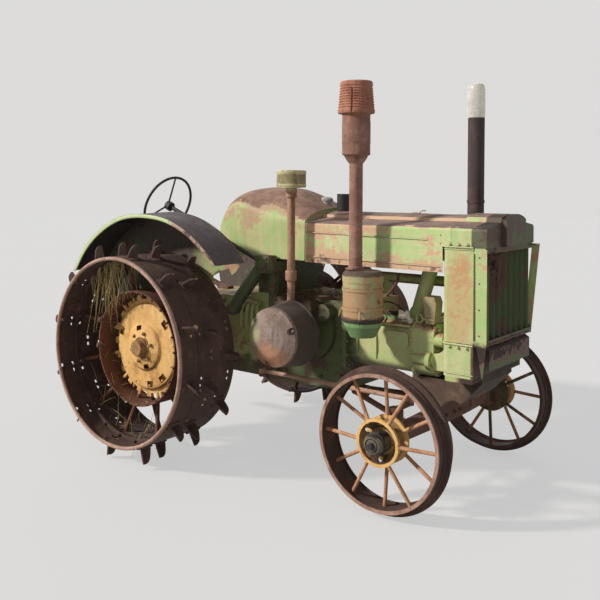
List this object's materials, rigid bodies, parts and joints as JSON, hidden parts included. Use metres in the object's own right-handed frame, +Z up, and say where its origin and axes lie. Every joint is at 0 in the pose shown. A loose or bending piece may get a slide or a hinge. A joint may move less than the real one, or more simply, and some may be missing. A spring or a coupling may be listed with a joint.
{
  "type": "farm tractor",
  "caption": "Two-cylinder farm tractor on steel wheels with spade lugs and extension rims, a belt pulley on its side and a tall air intake.",
  "frame": {"origin": "on the floor, halfway along the tractor and on its middle plane", "axes": "+X forward to the radiator, +Y to the driver's left, +Z up"},
  "size_m": [2.7909, 2.2, 2.3303],
  "materials": {
    "cast_green": "worn flat green paint on castings",
    "sheet_green": "faded green paint over rusting sheet",
    "zinc": "dull silver",
    "black_iron": "matt black",
    "rusted_stack": "brown rust",
    "cleaner_rust": "green paint gone to tan and orange rust",
    "clear_plastic": "milky thin plastic",
    "rim_rust": "even brown rust",
    "wheel_yellow": "faded yellow paint",
    "spider_yellow": "yellow paint worn to brown rust",
    "bare_rust": "brown rust",
    "pulley_rust": "worn green paint and orange rust",
    "wheel_black": "matt black"
  },
  "bodies": {
    "chassis": {"main_case": "cast_green", "axle_housings": "cast_green", "cylinder_block": "cast_green", "cylinder_head": "cast_green", "front_bolster": "cast_green", "tank_support": "cast_green", "hood": "sheet_green", "fuel_tank": "sheet_green", "fuel_cap": "zinc", "filler_cup": "black_iron", "radiator_core": "sheet_green", "radiator_top_tank": "sheet_green", "radiator_bottom_tank": "sheet_green", "shutter": "bare_rust", "air_cleaner": "cleaner_rust", "intake_stack": "rusted_stack", "exhaust_stack": "rusted_stack", "rain_cover": "clear_plastic", "breather": "rusted_stack", "fan_shaft_tube": "cast_green", "fender_right": "sheet_green", "fender_left": "sheet_green", "platform": "bare_rust", "seat": "bare_rust", "drawbar": "bare_rust", "steering_column": "cast_green", "front_axle": "bare_rust", "intake_elbow": "cleaner_rust"},
    "rear_wheel_right": {"rear_rim_right": "rim_rust", "rear_spider_right": "spider_yellow", "rear_cover_right": "wheel_yellow"},
    "rear_wheel_left": {"rear_rim_left": "rim_rust", "rear_spider_left": "spider_yellow", "rear_cover_left": "wheel_yellow"},
    "front_wheel_right": {"front_rim_right": "rim_rust", "front_hub_right": "wheel_yellow"},
    "front_wheel_left": {"front_rim_left": "rim_rust", "front_hub_left": "wheel_yellow"},
    "knuckle_right_body": {"knuckle_right": "bare_rust"},
    "knuckle_left_body": {"knuckle_left": "bare_rust"},
    "track_rod_body": {"track_rod": "bare_rust"},
    "drag_link_body": {"drag_link": "bare_rust"},
    "pitman_body": {"pitman_arm": "bare_rust"},
    "steering_wheel_body": {"steering_wheel": "wheel_black"},
    "fan_body": {"fan": "sheet_green"},
    "flywheel_body": {"flywheel": "bare_rust"},
    "pulley_body": {"belt_pulley": "pulley_rust"}
  },
  "joints": [
    {"name": "rear_right_spin", "type": "hinge", "parent": "chassis", "child": "rear_wheel_right", "pos_m": [-0.6745, -0.7975, 0.6862], "axis": [0, 1, 0], "continuous": true},
    {"name": "rear_left_spin", "type": "hinge", "parent": "chassis", "child": "rear_wheel_left", "pos_m": [-0.6745, 0.7975, 0.6862], "axis": [0, 1, 0], "continuous": true},
    {"name": "steer_right", "type": "hinge", "parent": "chassis", "child": "knuckle_right_body", "pos_m": [0.9705, -0.54, 0.3876], "axis": [0, 0, 1], "range_deg": [-25, 25]},
    {"name": "steer_left", "type": "hinge", "parent": "chassis", "child": "knuckle_left_body", "pos_m": [0.9705, 0.54, 0.3876], "axis": [0, 0, 1], "range_deg": [-25, 25]},
    {"name": "front_right_spin", "type": "hinge", "parent": "knuckle_right_body", "child": "front_wheel_right", "pos_m": [0.9705, -0.667, 0.3876], "axis": [0, 1, 0], "continuous": true},
    {"name": "front_left_spin", "type": "hinge", "parent": "knuckle_left_body", "child": "front_wheel_left", "pos_m": [0.9705, 0.667, 0.3876], "axis": [0, 1, 0], "continuous": true},
    {"name": "track_rod_turn", "type": "hinge", "parent": "knuckle_right_body", "child": "track_rod_body", "pos_m": [0.8205, -0.54, 0.3056], "axis": [0, 0, 1], "range_deg": [-25, 25]},
    {"name": "drag_link_turn", "type": "hinge", "parent": "knuckle_right_body", "child": "drag_link_body", "pos_m": [0.9705, -0.4, 0.546], "axis": [0, 0, 1], "range_deg": [-25, 25]},
    {"name": "pitman_turn", "type": "hinge", "parent": "chassis", "child": "pitman_body", "pos_m": [-0.0745, -0.292, 0.546], "axis": [0, 0, 1], "range_deg": [-32.9, 32.9]},
    {"name": "steering_wheel_turn", "type": "hinge", "parent": "chassis", "child": "steering_wheel_body", "pos_m": [-0.1365, -0.37, 1.23205], "axis": [0.9272, 0, -0.3746], "range_deg": [-380, 380]},
    {"name": "fan_spin", "type": "hinge", "parent": "chassis", "child": "fan_body", "pos_m": [1.0805, 0, 1.15], "axis": [1, 0, 0], "continuous": true},
    {"name": "flywheel_spin", "type": "hinge", "parent": "chassis", "child": "flywheel_body", "pos_m": [0.1915, 0.38, 0.819], "axis": [0, 1, 0], "continuous": true},
    {"name": "pulley_spin", "type": "hinge", "parent": "chassis", "child": "pulley_body", "pos_m": [0.1915, -0.44, 0.819], "axis": [0, 1, 0], "continuous": true}
  ],
  "couplings": [
    {"joint": "steer_left", "follows": "steer_right", "ratio": 1},
    {"joint": "track_rod_turn", "follows": "steer_right", "ratio": -1},
    {"joint": "drag_link_turn", "follows": "steer_right", "ratio": -1},
    {"joint": "pitman_turn", "follows": "steer_right", "ratio": -1.2963},
    {"joint": "steering_wheel_turn", "follows": "steer_right", "ratio": -15}
  ]
}
